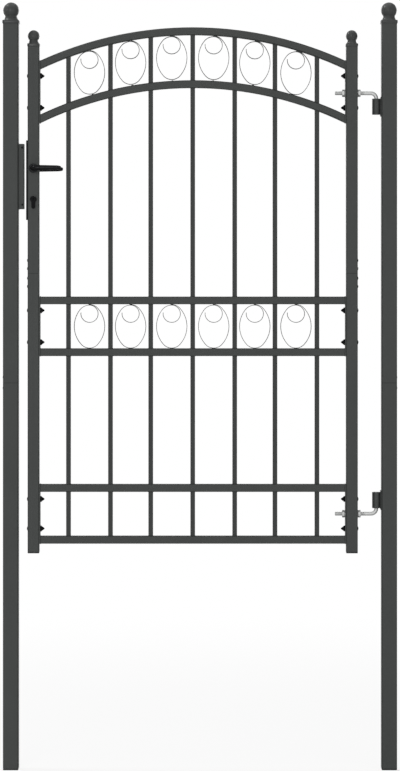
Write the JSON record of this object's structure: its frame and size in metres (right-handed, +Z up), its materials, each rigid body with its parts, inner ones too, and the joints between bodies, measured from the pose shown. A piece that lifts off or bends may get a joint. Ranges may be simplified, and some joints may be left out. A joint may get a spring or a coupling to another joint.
{
  "type": "single-leaf steel garden gate with two posts",
  "caption": "Arched garden gate of square steel tube with scrolls, a lever lock and bent-rod hinges, hung between two ball-capped posts.",
  "frame": {"origin": "middle of the hinge post's foot, on the flat underside", "axes": "+X away from the leaf, -Y the front, +Z up along the posts"},
  "size_m": [1.03, 0.124, 2],
  "materials": {
    "painted_steel": "satin powder coat",
    "cap_plastic": "satin",
    "black_metal": "satin black",
    "zinc_steel": "zinc plated"
  },
  "bodies": {
    "posts": {"hinge_post_lower": "painted_steel", "hinge_post_upper": "painted_steel", "latch_post_lower": "painted_steel", "latch_post_upper": "painted_steel", "post_splices": "painted_steel", "post_feet": "cap_plastic", "post_caps": "cap_plastic", "post_screws": "black_metal", "hinge_socket_upper": "painted_steel", "hinge_socket_lower": "painted_steel", "strike_box": "painted_steel"},
    "leaf": {"hinge_stile_lower": "painted_steel", "hinge_stile_upper": "painted_steel", "latch_stile_lower": "painted_steel", "latch_stile_upper": "painted_steel", "stile_splices": "painted_steel", "stile_feet": "cap_plastic", "stile_caps": "cap_plastic", "stile_screws": "black_metal", "top_arch": "painted_steel", "lower_arch": "painted_steel", "mid_rail_upper": "painted_steel", "mid_rail_lower": "painted_steel", "bottom_rail_upper": "painted_steel", "bottom_rail_lower": "painted_steel", "bar_1": "painted_steel", "bar_2": "painted_steel", "bar_3": "painted_steel", "bar_4": "painted_steel", "bar_5": "painted_steel", "bar_6": "painted_steel", "bar_7": "painted_steel", "end_plates": "painted_steel", "top_scrolls": "painted_steel", "mid_scrolls": "painted_steel", "frame_bolts": "black_metal", "cap_nuts": "black_metal", "hinge_rod_upper": "zinc_steel", "hinge_rod_lower": "zinc_steel", "hinge_nuts": "zinc_steel", "lock_faceplate": "black_metal", "lock_case": "zinc_steel", "lock_bolts": "zinc_steel", "lock_cylinder": "black_metal", "lever_rosettes": "black_metal"},
    "lever": {"front_lever": "black_metal", "back_lever": "black_metal", "lever_spindle": "zinc_steel"}
  },
  "joints": [
    {"name": "leaf_swing", "type": "hinge", "parent": "posts", "child": "leaf", "pos_m": [-0.03325, 0, 1.2], "axis": [0, 0, 1], "range_deg": [-100, 100]},
    {"name": "lever_turn", "type": "hinge", "parent": "leaf", "child": "lever", "pos_m": [-0.927, 0, 1.567], "axis": [0, 1, 0], "range_deg": [0, 45], "stiffness_Nm_per_rad": 1, "springref_deg": -28.65}
  ]
}
